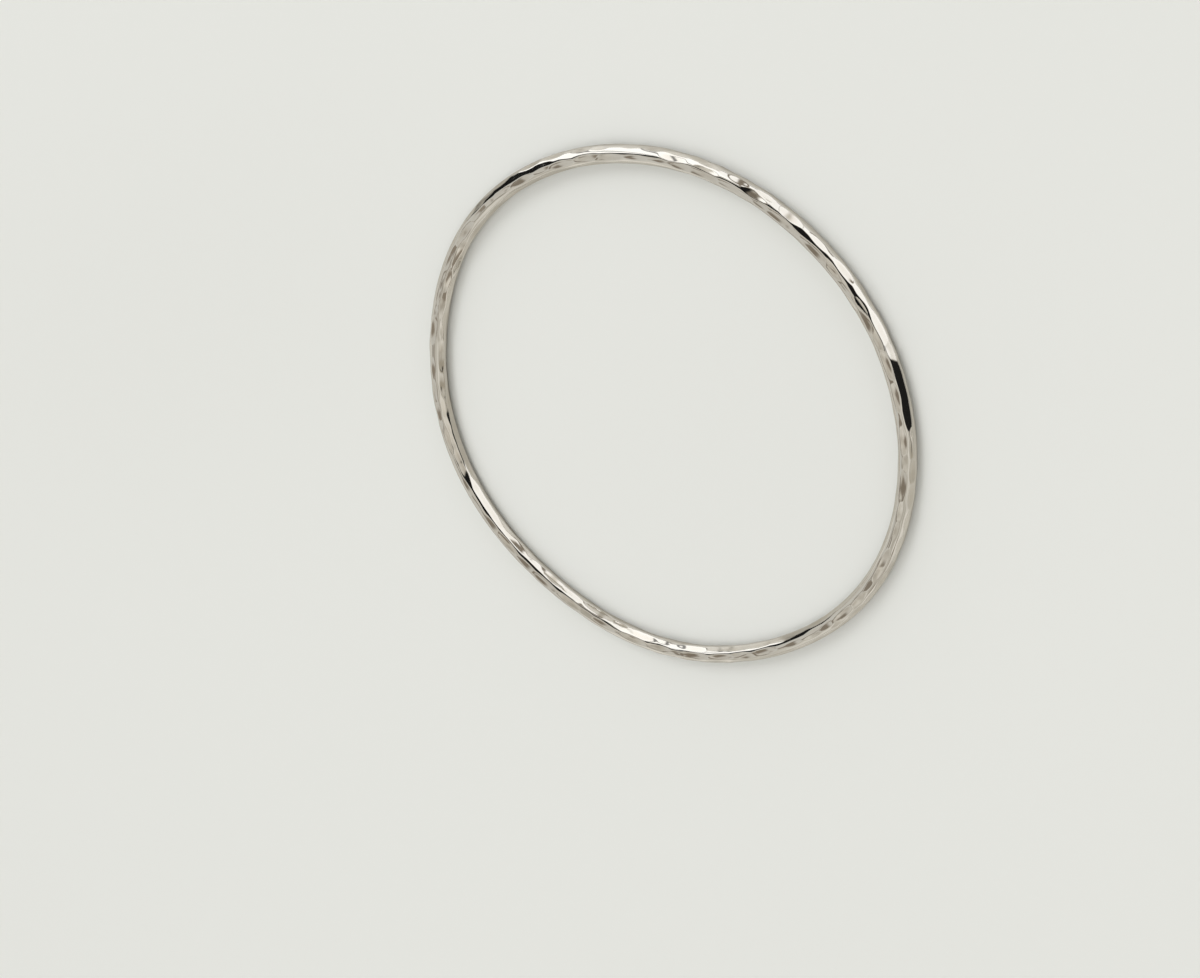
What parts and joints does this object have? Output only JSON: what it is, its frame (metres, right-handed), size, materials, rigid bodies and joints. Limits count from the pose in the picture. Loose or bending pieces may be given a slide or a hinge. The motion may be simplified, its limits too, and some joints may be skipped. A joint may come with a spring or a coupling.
{
  "type": "bangle",
  "caption": "Closed round bangle of hammered, polished silver wire, worn round the wrist and shown lying flat on its side.",
  "frame": {"origin": "the hoop's axis, at the level of the surface that the bangle lies on", "axes": "+Z along the hoop's axis, up from that surface; X and Y across the hoop"},
  "size_m": [0.0697, 0.0697, 0.0022],
  "materials": {
    "silver": null
  },
  "bodies": {
    "root": {"hammered_hoop": "silver"}
  },
  "joints": []
}
